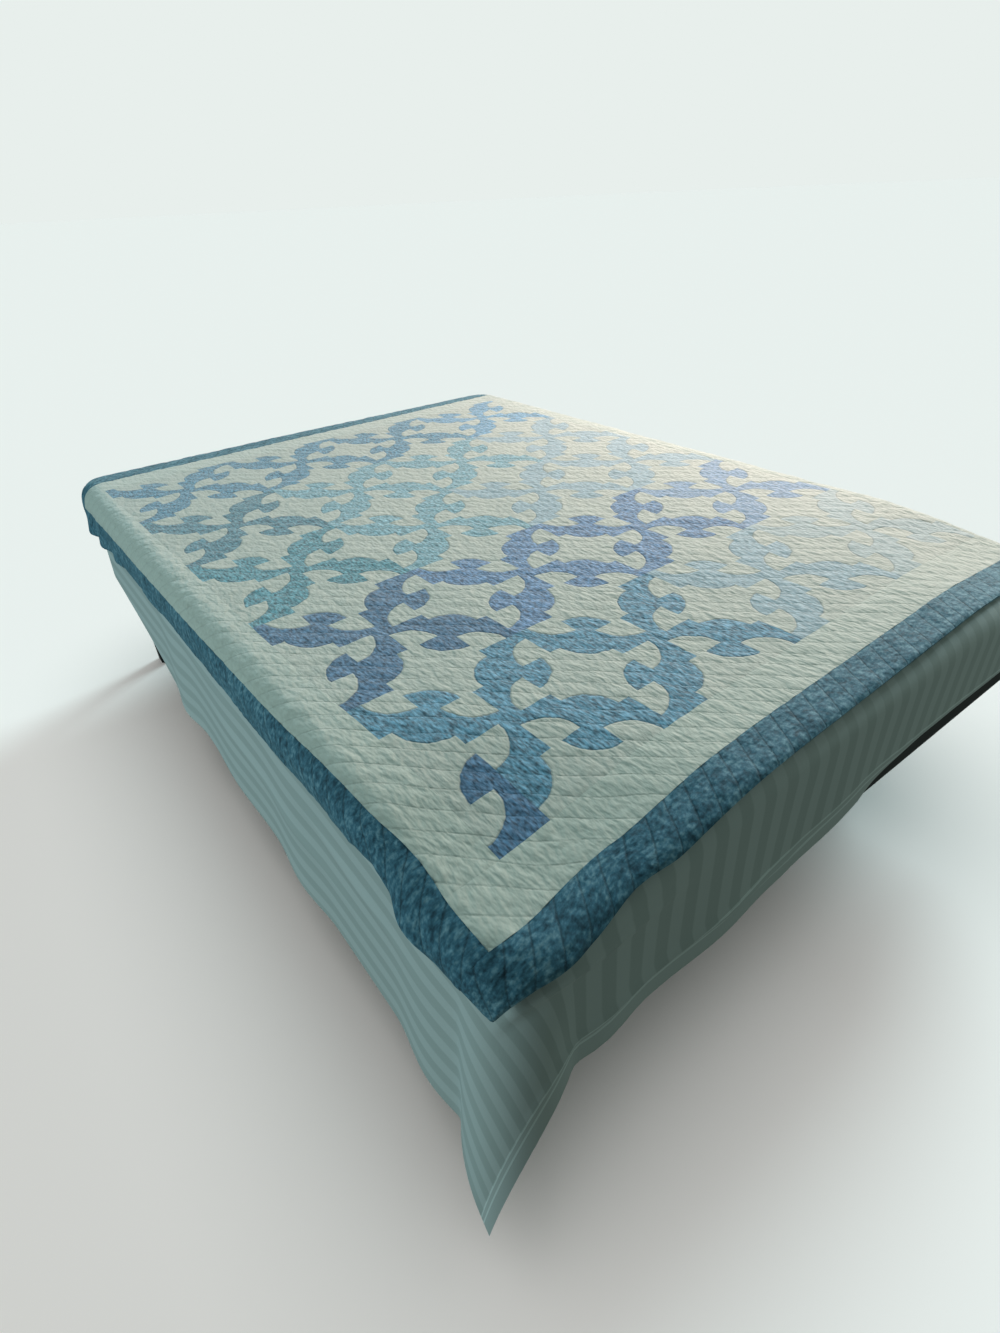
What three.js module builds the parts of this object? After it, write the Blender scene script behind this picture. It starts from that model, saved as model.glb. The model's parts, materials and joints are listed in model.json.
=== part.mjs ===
// Patchwork quilt lying over a made double bed, in millimetres, +Z up.
// Origin on the floor under the middle of the bed; +Y runs to the head, +X to the right of the sleeper.
// The quilt is a pieced centre with a white and a blue border, each strip a padded panel of its own.
// Quilt, sheet and mattress share one way of lying: flat on top, rolled over the edge, then hanging.
import * as THREE from 'three';

// Pieced centre and borders
const PATCH = 80;
const CENTRE_WIDE = 16 * PATCH;
const CENTRE_LONG = 20 * PATCH;
const WHITE_BORDER = 76;
const BLUE_BORDER = 64;
const QUILT_THICK = 5;
const QUILTING_STEP = PATCH / 2;
const QUILTING_RISE = 1.2;
const BORDER_CELLS = { whiteSide: 4, whiteEnd: 2, blueSide: 3, blueEnd: 4 };
const SEAM_GAP = 0.3;
const QUILT_TURN = THREE.MathUtils.degToRad(1.7);

// Where the flat quilt is pulled out of square, how far it is pulled and how far that spreads
const TUGS = [
  { u: -640, v: -800, x: 14, y: -11, spread: 480 },
  { u: -716, v: -740, x: 6, y: 0, spread: 75 },
  { u: -780, v: -690, x: 18, y: 0, spread: 80 },
  { u: -780, v: -830, x: -9, y: 0, spread: 75 },
  { u: -680, v: -876, x: 0, y: -5, spread: 70 },
  { u: -570, v: -880, x: 0, y: 4, spread: 80 },
  { u: -545, v: -940, x: 0, y: 9, spread: 75 },
  { u: -660, v: -940, x: 0, y: -6, spread: 60 },
];

// Mattress and sheet
const MATTRESS_WIDE = 1372;
const MATTRESS_LONG = 1905;
const MATTRESS_HIGH = 203;
const EDGE_ROUND = 45;
const EDGE_FACETS = 3;
const CORNER_PLAN = 45;
const CORNER_FACETS = 4;
const SHEET_THICK = 1.5;

// Clearances between the layers
const REST_GAP = 0.3;
const SHEET_CLEAR = 4;
const QUILT_CLEAR = 20;
const LAYER_EASE = 2.5;
const EASE_SPREAD = 1.4;

// Steel bed frame
const FRAME_HIGH = 380;
const RAIL_HIGH = 60;
const RAIL_THICK = 30;
const RAIL_INSET = 25;
const SLAT_WIDE = 70;
const SLAT_THICK = 14;
const SLAT_COUNT = 11;
const LEG_SIDE = 42;
const FOOT_LEGS_IN = 270;
const BAR_CHAMFER = 4;

// Heights of the layers' middles
const MATTRESS_BASE = FRAME_HIGH + REST_GAP;
const MATTRESS_TOP = MATTRESS_BASE + MATTRESS_HIGH;
const SHEET_MIDDLE = MATTRESS_TOP + REST_GAP + SHEET_THICK / 2;
const QUILT_MIDDLE = SHEET_MIDDLE + SHEET_THICK / 2 + REST_GAP + QUILT_THICK / 2;

// Which way each side of the bed faces
const SIDES = {
  left: { x: -1, y: 0 },
  right: { x: 1, y: 0 },
  foot: { x: 0, y: -1 },
  head: { x: 0, y: 1 },
};

// Worn mattress corners that have sunk, with the sink at the corner and how far it spreads
const SOFT_CORNERS = [
  { x: -1, y: -1, sink: 44, spread: 420 },
  { x: 1, y: -1, sink: 34, spread: 420 },
];

// How far in from the mattress edge its top stays level, and the insets of its sinking border
const SINK_REACH = 400;
const SINK_CELLS = 6;
const LEVEL_CELLS = 3;
const SINK_INSETS = [SINK_REACH, 330, 260, 200, 145, 95, 45];

// How much sheet hangs below the bed's top, and what share of it is tucked in under the mattress:
// loose on the left and at the ends next to it, tucked elsewhere
const TUCK_TURN = THREE.MathUtils.degToRad(65);
const STRAIGHT_SIDE = MATTRESS_HIGH - 2 * EDGE_ROUND;
const LEAST_TUCK = 0.001;
const TUCKED_FALL = EDGE_ROUND + STRAIGHT_SIDE + EDGE_ROUND * TUCK_TURN;
const HEMS = {
  left: [
    { at: -952, fall: 410, tuck: 0 },
    { at: 320, fall: 385, tuck: 0 },
    { at: 448, fall: 345, tuck: 0 },
    { at: 576, fall: 312, tuck: 0 },
    { at: 700, fall: 288, tuck: 0 },
    { at: 900, fall: 258, tuck: 0 },
  ],
  foot: [
    { at: -400, fall: 257, tuck: 0 },
    { at: -190, fall: 240, tuck: 0 },
    { at: 0, fall: 209, tuck: 0.1 },
    { at: 200, fall: TUCKED_FALL, tuck: 1 },
  ],
  right: [{ at: 0, fall: TUCKED_FALL, tuck: 1 }],
  head: [
    { at: -600, fall: 245, tuck: 0 },
    { at: -480, fall: 222, tuck: 0.3 },
    { at: -380, fall: TUCKED_FALL, tuck: 1 },
  ],
};

// Places along each side of a mattress ring, as shares of the side, close where its corners sink
const RING_SHARES = [0.06, 0.13, 0.22, 0.5, 0.78, 0.87, 0.94];

// The mattress as the shape that the cloths follow
const MATTRESS = {
  halfX: MATTRESS_WIDE / 2 - EDGE_ROUND,
  halfY: MATTRESS_LONG / 2 - EDGE_ROUND,
};

// The sheet's lie: hang in degrees from level on each side, then folds that stand out from it
const SHEET = {
  halfX: MATTRESS.halfX + SHEET_CLEAR,
  halfY: MATTRESS.halfY + SHEET_CLEAR,
  roll: EDGE_ROUND + REST_GAP + SHEET_THICK / 2,
  middle: SHEET_MIDDLE,
  ease: LAYER_EASE,
  tucked: true,
  hang: { left: 87, right: 89, foot: 89.5, head: 89 },
  corners: [{ x: -1, y: -1, lift: 9 }],
  folds: [
    { side: 'left', at: -800, half: 110, lift: 2 },
    { side: 'left', at: -380, half: 130, lift: 1.5 },
    { side: 'left', at: -60, half: 170, lift: 1 },
    { side: 'left', at: 260, half: 120, lift: 2 },
    { side: 'foot', at: -560, half: 90, lift: 2.5 },
    { side: 'foot', at: -330, half: 110, lift: 1.5 },
    { side: 'foot', at: -60, half: 120, lift: 1.5 },
  ],
};

// The quilt's lie: stiff, so it stands off the edge, flares at the corners and waves along its sides
const QUILT = {
  halfX: MATTRESS.halfX + QUILT_CLEAR,
  halfY: MATTRESS.halfY + QUILT_CLEAR,
  roll: EDGE_ROUND + SHEET_THICK + 2 * REST_GAP + QUILT_THICK / 2,
  middle: QUILT_MIDDLE,
  ease: 2 * LAYER_EASE,
  tucked: false,
  hang: { left: 89, right: 82, foot: 80, head: 80 },
  corners: [
    { x: -1, y: -1, lift: 8 },
    { x: 1, y: -1, lift: 12 },
    { x: -1, y: 1, lift: 8 },
    { x: 1, y: 1, lift: 12 },
  ],
  folds: [
    { side: 'left', at: -805, half: 70, lift: 34 },
    { side: 'left', at: -690, half: 75, lift: -18 },
    { side: 'left', at: -600, half: 180, lift: -8 },
    { side: 'left', at: -300, half: 150, lift: 2 },
    { side: 'left', at: -80, half: 160, lift: 1 },
    { side: 'left', at: 260, half: 130, lift: 4 },
    { side: 'left', at: 560, half: 70, lift: 8 },
    { side: 'left', at: 700, half: 65, lift: 12 },
    { side: 'left', at: 830, half: 60, lift: 12 },
    { side: 'right', at: -560, half: 150, lift: 8 },
    { side: 'right', at: -120, half: 180, lift: 5 },
    { side: 'right', at: 420, half: 170, lift: 9 },
    { side: 'foot', at: -520, half: 110, lift: 12 },
    { side: 'foot', at: -60, half: 160, lift: 8 },
    { side: 'foot', at: 380, half: 150, lift: 10 },
    { side: 'head', at: -300, half: 150, lift: 8 },
    { side: 'head', at: 250, half: 170, lift: 10 },
  ],
};

const CLOTH = {
  patchwork: new THREE.MeshStandardMaterial({ color: 0x8fb0c4, roughness: 0.9 }),
  white: new THREE.MeshStandardMaterial({ color: 0xc9d4c4, roughness: 0.9 }),
  blue: new THREE.MeshStandardMaterial({ color: 0x2f6076, roughness: 0.9 }),
  sheet: new THREE.MeshStandardMaterial({ color: 0x9aa8a2, roughness: 0.7 }),
  ticking: new THREE.MeshStandardMaterial({ color: 0xd8d6cf, roughness: 0.9 }),
};
const STEEL = new THREE.MeshStandardMaterial({ color: 0x14171a, roughness: 0.5, metalness: 0.4 });

// A soft bump: one in the middle, level at both ends
function bell(t) {
  return Math.abs(t) < 1 ? 0.5 + 0.5 * Math.cos(Math.PI * t) : 0;
}

// Evenly spaced values from one end to the other
function evenly(from, to, count) {
  return Array.from({ length: count + 1 }, (_, k) => from + ((to - from) * k) / count);
}

// One column of a hem's table at a place along its side, straight between the rows
function hemValue(side, column, at) {
  const rows = HEMS[side];
  const next = rows.findIndex((row) => row.at >= at);
  if (next === 0) {
    return rows[0][column];
  }
  if (next < 0) {
    return rows[rows.length - 1][column];
  }
  const low = rows[next - 1];
  const high = rows[next];
  return THREE.MathUtils.mapLinear(at, low.at, high.at, low[column], high[column]);
}

// The sunken corners lower what lies above the mattress base; higher layers bridge them a little
function sink(point, ease) {
  const share = Math.max((point.z - MATTRESS_BASE) / MATTRESS_HIGH, 0);
  for (const corner of SOFT_CORNERS) {
    const away = Math.hypot(
      point.x - (corner.x * MATTRESS_WIDE) / 2,
      point.y - (corner.y * MATTRESS_LONG) / 2,
    );
    const bridged = ease * bell(away / (EASE_SPREAD * corner.spread));
    point.z -= share * (corner.sink * bell(away / corner.spread) - bridged);
  }
  return point;
}

// How much each side of the bed counts for a place facing a given way, with the place along that side
function sidesFaced(x, y, facing) {
  return Object.entries(SIDES).map(([name, side]) => ({
    name,
    weight: Math.max(facing.x * side.x + facing.y * side.y, 0) ** 2,
    along: side.x ? y : x,
  }));
}

// How steeply a cloth hangs past the edge at a flat place, facing the way that its edge faces there
function hangAngle(cloth, x, y, facing) {
  let degrees = 0;
  for (const { name, weight, along } of sidesFaced(x, y, facing)) {
    const folds = cloth.folds.filter((fold) => fold.side === name);
    const lift = folds.reduce((sum, fold) => sum + fold.lift * bell((along - fold.at) / fold.half), 0);
    degrees += weight * (cloth.hang[name] - lift);
  }
  for (const corner of cloth.corners) {
    if (facing.x * corner.x > 0 && facing.y * corner.y > 0) {
      degrees -= corner.lift * 2 * Math.abs(facing.x * facing.y);
    }
  }
  return THREE.MathUtils.degToRad(degrees);
}

// What share of the hem is tucked in at a place facing a given way
function tuckShare(x, y, facing) {
  const sides = sidesFaced(x, y, facing);
  return sides.reduce((sum, side) => sum + side.weight * hemValue(side.name, 'tuck', side.along), 0);
}

// Where a flat place on a cloth comes to lie: its middle surface
function lie(cloth, x, y) {
  const out = new THREE.Vector2(
    Math.max(Math.abs(x) - (cloth.halfX - CORNER_PLAN), 0),
    Math.max(Math.abs(y) - (cloth.halfY - CORNER_PLAN), 0),
  );
  const past = out.length() - CORNER_PLAN;
  if (past <= 0) {
    return sink(new THREE.Vector3(x, y, cloth.middle), cloth.ease);
  }
  const facing = out.normalize();
  facing.set(facing.x * Math.sign(x), facing.y * Math.sign(y));
  const turned = Math.min(past / cloth.roll, hangAngle(cloth, x, y, facing));
  const straight = past - turned * cloth.roll;
  const tuck = cloth.tucked ? tuckShare(x, y, facing) : 0;
  const curled = tuck > 0 ? Math.max(straight - STRAIGHT_SIDE, 0) : 0;
  const hung = straight - curled;
  const bend = cloth.roll / Math.max(tuck, LEAST_TUCK);
  const last = turned + curled / bend;
  const reach = cloth.roll * Math.sin(turned) + hung * Math.cos(turned)
    + bend * (Math.sin(last) - Math.sin(turned));
  const fall = cloth.roll * (1 - Math.cos(turned)) + hung * Math.sin(turned)
    + bend * (Math.cos(turned) - Math.cos(last));
  const shift = reach - past;
  const point = new THREE.Vector3(x + facing.x * shift, y + facing.y * shift, cloth.middle - fall);
  return sink(point, cloth.ease);
}

// The upward normal of a cloth's middle surface at a flat place
function lieNormal(cloth, x, y) {
  const step = 0.5;
  const alongX = lie(cloth, x + step, y).sub(lie(cloth, x - step, y));
  const alongY = lie(cloth, x, y + step).sub(lie(cloth, x, y - step));
  return alongX.cross(alongY).normalize();
}

// A closed panel of cloth over a grid of flat places, with a rise added to its upper face
function clothPanel(cloth, columns, rows, thick, flatPlace, rise) {
  const upper = [];
  const under = [];
  rows.forEach((row, j) => {
    columns.forEach((column, i) => {
      const { x, y } = flatPlace(column, row);
      const middle = lie(cloth, x, y);
      const normal = lieNormal(cloth, x, y);
      const atRim = i === 0 || j === 0 || i === columns.length - 1 || j === rows.length - 1;
      upper.push(middle.clone().addScaledVector(normal, thick / 2 + rise(column, row, atRim)));
      under.push(middle.addScaledVector(normal, -thick / 2));
    });
  });
  const across = columns.length;
  const count = upper.length;
  const index = [];
  for (let j = 0; j < rows.length - 1; j += 1) {
    for (let i = 0; i < across - 1; i += 1) {
      const a = j * across + i;
      const b = a + 1;
      const c = a + across;
      const d = c + 1;
      index.push(a, b, c, b, d, c);
      index.push(count + a, count + c, count + b, count + b, count + c, count + d);
    }
  }
  const rim = [];
  for (let i = 0; i < across - 1; i += 1) {
    rim.push(i);
  }
  for (let j = 0; j < rows.length - 1; j += 1) {
    rim.push(j * across + across - 1);
  }
  for (let i = across - 1; i > 0; i -= 1) {
    rim.push((rows.length - 1) * across + i);
  }
  for (let j = rows.length - 1; j > 0; j -= 1) {
    rim.push(j * across);
  }
  rim.forEach((from, k) => {
    const to = rim[(k + 1) % rim.length];
    index.push(from, count + from, count + to, from, count + to, to);
  });
  const geometry = new THREE.BufferGeometry();
  geometry.setFromPoints([...upper, ...under]);
  geometry.setIndex(index);
  return geometry;
}

// Diagonal quilting: a ridge and a trough in turn, pressed flat along every seam and edge
function quilting(u, v, atRim) {
  if (atRim) {
    return -QUILTING_RISE / 2;
  }
  const phase = Math.abs((u + v) / QUILTING_STEP) % 2;
  return QUILTING_RISE * (1 - 2 * Math.min(phase, 2 - phase));
}

// A flat place on the quilt, turned a little on the bed and tugged out of square near the left foot corner
function quiltPlace(u, v) {
  const place = {
    x: u * Math.cos(QUILT_TURN) - v * Math.sin(QUILT_TURN),
    y: u * Math.sin(QUILT_TURN) + v * Math.cos(QUILT_TURN),
  };
  for (const tug of TUGS) {
    const share = bell(Math.hypot(u - tug.u, v - tug.v) / tug.spread);
    place.x += share * tug.x;
    place.y += share * tug.y;
  }
  return place;
}

// A panel's lines, its two ends drawn in by half a gap where another panel meets them
function seamed(lines, outer) {
  const drawn = [...lines];
  const last = lines.length - 1;
  drawn[0] += lines[0] > -outer ? SEAM_GAP / 2 : 0;
  drawn[last] -= lines[last] < outer ? SEAM_GAP / 2 : 0;
  return drawn;
}

// Joins runs of lines end to end, each shared line once
function runOn(...runs) {
  return runs.reduce((all, run) => [...all, ...run.slice(1)]);
}

function quiltPanels() {
  const inX = CENTRE_WIDE / 2;
  const inY = CENTRE_LONG / 2;
  const whiteX = inX + WHITE_BORDER;
  const whiteY = inY + WHITE_BORDER;
  const outX = whiteX + BLUE_BORDER;
  const outY = whiteY + BLUE_BORDER;
  const centreX = evenly(-inX, inX, CENTRE_WIDE / QUILTING_STEP);
  const centreY = evenly(-inY, inY, CENTRE_LONG / QUILTING_STEP);
  const whiteLeft = evenly(-whiteX, -inX, BORDER_CELLS.whiteSide);
  const whiteRight = evenly(inX, whiteX, BORDER_CELLS.whiteSide);
  const whiteFoot = evenly(-whiteY, -inY, BORDER_CELLS.whiteEnd);
  const whiteHead = evenly(inY, whiteY, BORDER_CELLS.whiteEnd);
  const blueLeft = evenly(-outX, -whiteX, BORDER_CELLS.blueSide);
  const blueRight = evenly(whiteX, outX, BORDER_CELLS.blueSide);
  const blueFoot = evenly(-outY, -whiteY, BORDER_CELLS.blueEnd);
  const blueHead = evenly(whiteY, outY, BORDER_CELLS.blueEnd);
  const whiteWide = runOn(whiteLeft, centreX, whiteRight);
  const whiteLong = runOn(whiteFoot, centreY, whiteHead);
  const blueWide = runOn(blueLeft, whiteWide, blueRight);
  const panels = [
    { name: 'quilt_centre', cloth: 'patchwork', u: centreX, v: centreY },
    { name: 'white_left', cloth: 'white', u: whiteLeft, v: centreY },
    { name: 'white_right', cloth: 'white', u: whiteRight, v: centreY },
    { name: 'white_foot', cloth: 'white', u: whiteWide, v: whiteFoot },
    { name: 'white_head', cloth: 'white', u: whiteWide, v: whiteHead },
    { name: 'blue_left', cloth: 'blue', u: blueLeft, v: whiteLong },
    { name: 'blue_right', cloth: 'blue', u: blueRight, v: whiteLong },
    { name: 'blue_foot', cloth: 'blue', u: blueWide, v: blueFoot },
    { name: 'blue_head', cloth: 'blue', u: blueWide, v: blueHead },
  ];
  return panels.map((panel) => {
    const u = seamed(panel.u, outX);
    const v = seamed(panel.v, outY);
    const geometry = clothPanel(QUILT, u, v, QUILT_THICK, quiltPlace, quilting);
    return namedMesh(panel.name, geometry, CLOTH[panel.cloth]);
  });
}

// Lines across the sheet in one direction: a flat place, and a share of the fall below the rolled edge
function sheetLines(half, topLines) {
  const rollEnd = half + (SHEET.roll * Math.PI) / 2;
  const roll = evenly(half, rollEnd, EDGE_FACETS);
  const tuckStart = STRAIGHT_SIDE / (TUCKED_FALL - EDGE_ROUND);
  const falls = [tuckStart / 2, ...evenly(tuckStart, 1, EDGE_FACETS)];
  const low = falls.map((share) => ({ place: -rollEnd, share })).reverse();
  const high = falls.map((share) => ({ place: rollEnd, share }));
  const lowRoll = roll.map((place) => ({ place: -place, share: 0 })).reverse();
  const highRoll = roll.map((place) => ({ place, share: 0 }));
  const top = topLines.map((place) => ({ place, share: 0 }));
  return [...low, ...lowRoll, ...top, ...highRoll, ...high];
}

// The free length of the sheet below its rolled edge, on the side that a line lies towards
function freeFall(side, along) {
  return hemValue(side, 'fall', along) - SHEET.roll;
}

// A flat place on the sheet; at a tucked corner its square corner is drawn in to a round one
function sheetPlace(column, row) {
  const sideX = column.place < 0 ? 'left' : 'right';
  const sideY = row.place < 0 ? 'foot' : 'head';
  const fallX = freeFall(sideX, row.place);
  const fallY = freeFall(sideY, column.place);
  const flat = new THREE.Vector2(
    Math.abs(column.place) + column.share * fallX,
    Math.abs(row.place) + row.share * fallY,
  );
  const middle = new THREE.Vector2(SHEET.halfX - CORNER_PLAN, SHEET.halfY - CORNER_PLAN);
  const beyond = flat.clone().sub(middle);
  const loose = sideX === 'left' && sideY === 'foot';
  if (!loose && beyond.x > 0 && beyond.y > 0) {
    const rollLength = CORNER_PLAN + (SHEET.roll * Math.PI) / 2;
    const most = new THREE.Vector2(rollLength + fallX, rollLength + fallY);
    const part = beyond.clone().divide(most);
    const turn = Math.PI / 4;
    const angle = part.x >= part.y ? (turn * part.y) / part.x : 2 * turn - (turn * part.x) / part.y;
    const far = Math.max(part.x, part.y);
    flat.set(Math.cos(angle), Math.sin(angle)).multiply(most).multiplyScalar(far).add(middle);
  }
  return { x: flat.x * Math.sign(column.place), y: flat.y * Math.sign(row.place) };
}

function bedSheet() {
  const { halfX, halfY } = SHEET;
  const cornerX = halfX - CORNER_PLAN;
  const cornerY = halfY - CORNER_PLAN;
  const inX = halfX - SINK_REACH;
  const inY = halfY - SINK_REACH;
  const topX = runOn(evenly(-cornerX, -inX, SINK_CELLS), [-inX, 0, inX], evenly(inX, cornerX, SINK_CELLS));
  const topY = runOn(evenly(-cornerY, -inY, SINK_CELLS), evenly(-inY, cornerY, LEVEL_CELLS));
  const columns = sheetLines(halfX, topX);
  const rows = sheetLines(halfY, topY);
  const geometry = clothPanel(SHEET, columns, rows, SHEET_THICK, sheetPlace, () => 0);
  return namedMesh('bed_sheet', geometry, CLOTH.sheet);
}

// A ring of places around a rectangle with round corners, anticlockwise from above
function roundRing(halfX, halfY, radius, height) {
  const corners = [[1, -1], [1, 1], [-1, 1], [-1, -1]];
  const ring = [];
  corners.forEach(([signX, signY], k) => {
    const middleX = signX * (halfX - radius);
    const middleY = signY * (halfY - radius);
    for (const turn of evenly(((k - 1) * Math.PI) / 2, (k * Math.PI) / 2, CORNER_FACETS)) {
      const x = middleX + radius * Math.cos(turn);
      const y = middleY + radius * Math.sin(turn);
      ring.push(new THREE.Vector3(x, y, height));
    }
    const [nextX, nextY] = corners[(k + 1) % corners.length];
    const start = ring[ring.length - 1];
    const turn = (k * Math.PI) / 2;
    const endX = nextX * (halfX - radius) + radius * Math.cos(turn);
    const endY = nextY * (halfY - radius) + radius * Math.sin(turn);
    for (const share of RING_SHARES) {
      const x = THREE.MathUtils.lerp(start.x, endX, share);
      const y = THREE.MathUtils.lerp(start.y, endY, share);
      ring.push(new THREE.Vector3(x, y, height));
    }
  });
  return ring;
}

// The mattress: rings from the middle of its top, out over the rolled edge and down to a flat base
function mattress() {
  const { halfX, halfY } = MATTRESS;
  const rings = [];
  for (const inset of SINK_INSETS) {
    rings.push(roundRing(halfX - inset, halfY - inset, CORNER_PLAN, MATTRESS_TOP));
  }
  for (const turn of evenly(0, Math.PI / 2, EDGE_FACETS)) {
    const reach = EDGE_ROUND * Math.sin(turn);
    const fall = EDGE_ROUND * (1 - Math.cos(turn));
    rings.push(roundRing(halfX + reach, halfY + reach, CORNER_PLAN + reach, MATTRESS_TOP - fall));
  }
  for (const turn of evenly(Math.PI / 2, Math.PI, EDGE_FACETS)) {
    const reach = EDGE_ROUND * Math.sin(turn);
    const rise = EDGE_ROUND * (1 + Math.cos(turn));
    rings.push(roundRing(halfX + reach, halfY + reach, CORNER_PLAN + reach, MATTRESS_BASE + rise));
  }
  const around = rings[0].length;
  const points = rings.flat().map((point) => sink(point, 0));
  const index = [];
  for (let k = 0; k < rings.length - 1; k += 1) {
    for (let i = 0; i < around; i += 1) {
      const a = k * around + i;
      const b = k * around + ((i + 1) % around);
      index.push(a, a + around, b, b, a + around, b + around);
    }
  }
  const topMiddle = points.push(new THREE.Vector3(0, 0, MATTRESS_TOP)) - 1;
  const baseMiddle = points.push(new THREE.Vector3(0, 0, MATTRESS_BASE)) - 1;
  const lastRing = (rings.length - 1) * around;
  for (let i = 0; i < around; i += 1) {
    const next = (i + 1) % around;
    index.push(topMiddle, i, next);
    index.push(baseMiddle, lastRing + next, lastRing + i);
  }
  const geometry = new THREE.BufferGeometry();
  geometry.setFromPoints(points);
  geometry.setIndex(index);
  return namedMesh('mattress', geometry, CLOTH.ticking);
}

// A steel bar standing up from its base, with chamfered long edges
function steelBar(name, wideX, wideY, high, middle, base) {
  const x = wideX / 2;
  const y = wideY / 2;
  const c = BAR_CHAMFER;
  const section = new THREE.Shape();
  section.moveTo(-x + c, -y);
  section.lineTo(x - c, -y);
  section.lineTo(x, -y + c);
  section.lineTo(x, y - c);
  section.lineTo(x - c, y);
  section.lineTo(-x + c, y);
  section.lineTo(-x, y - c);
  section.lineTo(-x, -y + c);
  const geometry = new THREE.ExtrudeGeometry(section, { depth: high, bevelEnabled: false });
  const bar = namedMesh(name, geometry, STEEL);
  bar.position.set(middle.x, middle.y, base);
  return bar;
}

function bedFrame() {
  const frame = new THREE.Group();
  const slatBase = FRAME_HIGH - SLAT_THICK;
  const railBase = slatBase - REST_GAP - RAIL_HIGH;
  const legHigh = railBase - REST_GAP;
  const railX = MATTRESS_WIDE / 2 - RAIL_INSET - RAIL_THICK / 2;
  const railY = MATTRESS_LONG / 2 - RAIL_INSET - RAIL_THICK / 2;
  const sideLong = 2 * railY - RAIL_THICK - 2 * REST_GAP;
  const endLong = 2 * railX + RAIL_THICK;
  const rails = [
    { name: 'rail_left', x: -railX, y: 0, wideX: RAIL_THICK, wideY: sideLong },
    { name: 'rail_right', x: railX, y: 0, wideX: RAIL_THICK, wideY: sideLong },
    { name: 'rail_centre', x: 0, y: 0, wideX: RAIL_THICK, wideY: sideLong },
    { name: 'rail_foot', x: 0, y: -railY, wideX: endLong, wideY: RAIL_THICK },
    { name: 'rail_head', x: 0, y: railY, wideX: endLong, wideY: RAIL_THICK },
  ];
  for (const rail of rails) {
    frame.add(steelBar(rail.name, rail.wideX, rail.wideY, RAIL_HIGH, rail, railBase));
  }
  const slatRun = 2 * railY - SLAT_WIDE;
  evenly(-slatRun / 2, slatRun / 2, SLAT_COUNT - 1).forEach((y, k) => {
    const name = `slat_${String(k + 1).padStart(2, '0')}`;
    frame.add(steelBar(name, endLong, SLAT_WIDE, SLAT_THICK, { x: 0, y }, slatBase));
  });
  const legX = railX + RAIL_THICK / 2 - LEG_SIDE / 2;
  const legY = railY + RAIL_THICK / 2 - LEG_SIDE / 2;
  const legs = [
    { name: 'leg_foot_left', x: -legX, y: FOOT_LEGS_IN - legY },
    { name: 'leg_foot_right', x: legX, y: FOOT_LEGS_IN - legY },
    { name: 'leg_middle_left', x: -legX, y: 0 },
    { name: 'leg_middle_right', x: legX, y: 0 },
    { name: 'leg_head_left', x: -legX, y: legY },
    { name: 'leg_head_right', x: legX, y: legY },
    { name: 'leg_centre', x: 0, y: 0 },
  ];
  for (const leg of legs) {
    frame.add(steelBar(leg.name, LEG_SIDE, LEG_SIDE, legHigh, leg, 0));
  }
  return frame;
}

function namedMesh(name, geometry, material) {
  const mesh = new THREE.Mesh(geometry, material.clone());
  mesh.name = name;
  return mesh;
}

const bed = new THREE.Group();
bed.add(...quiltPanels(), bedSheet(), mattress(), bedFrame());

export default bed;
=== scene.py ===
import json
import math

import bpy
import numpy as np
from bpy.props import FloatProperty, FloatVectorProperty, PointerProperty
from mathutils import Matrix, Vector

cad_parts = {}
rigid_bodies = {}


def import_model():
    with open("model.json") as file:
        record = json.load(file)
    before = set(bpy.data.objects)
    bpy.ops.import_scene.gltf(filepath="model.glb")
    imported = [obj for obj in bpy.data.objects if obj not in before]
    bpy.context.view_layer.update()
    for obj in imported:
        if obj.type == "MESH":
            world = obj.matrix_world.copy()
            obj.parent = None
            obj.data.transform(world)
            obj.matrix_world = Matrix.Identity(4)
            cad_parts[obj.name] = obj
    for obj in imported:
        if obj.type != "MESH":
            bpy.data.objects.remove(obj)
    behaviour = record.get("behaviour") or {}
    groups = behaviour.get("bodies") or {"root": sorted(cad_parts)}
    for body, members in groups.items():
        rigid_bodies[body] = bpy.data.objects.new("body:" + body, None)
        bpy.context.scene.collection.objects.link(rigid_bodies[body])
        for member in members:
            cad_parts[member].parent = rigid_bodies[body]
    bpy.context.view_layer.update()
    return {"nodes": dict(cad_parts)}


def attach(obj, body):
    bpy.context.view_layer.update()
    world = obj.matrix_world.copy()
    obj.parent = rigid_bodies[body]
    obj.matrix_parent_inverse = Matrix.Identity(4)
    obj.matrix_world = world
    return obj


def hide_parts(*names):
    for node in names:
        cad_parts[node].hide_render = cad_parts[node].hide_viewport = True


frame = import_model()

bl_info = {
    "name": "Patchwork quilt on a double bed",
    "version": (1, 0, 0),
    "blender": (4, 5, 0),
    "location": "View3D > Sidebar > Quilt",
    "description": "Dresses the bed with its pieced quilt, striped sheet, mattress and steel frame",
    "category": "Object",
}

MM = 0.001

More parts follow.
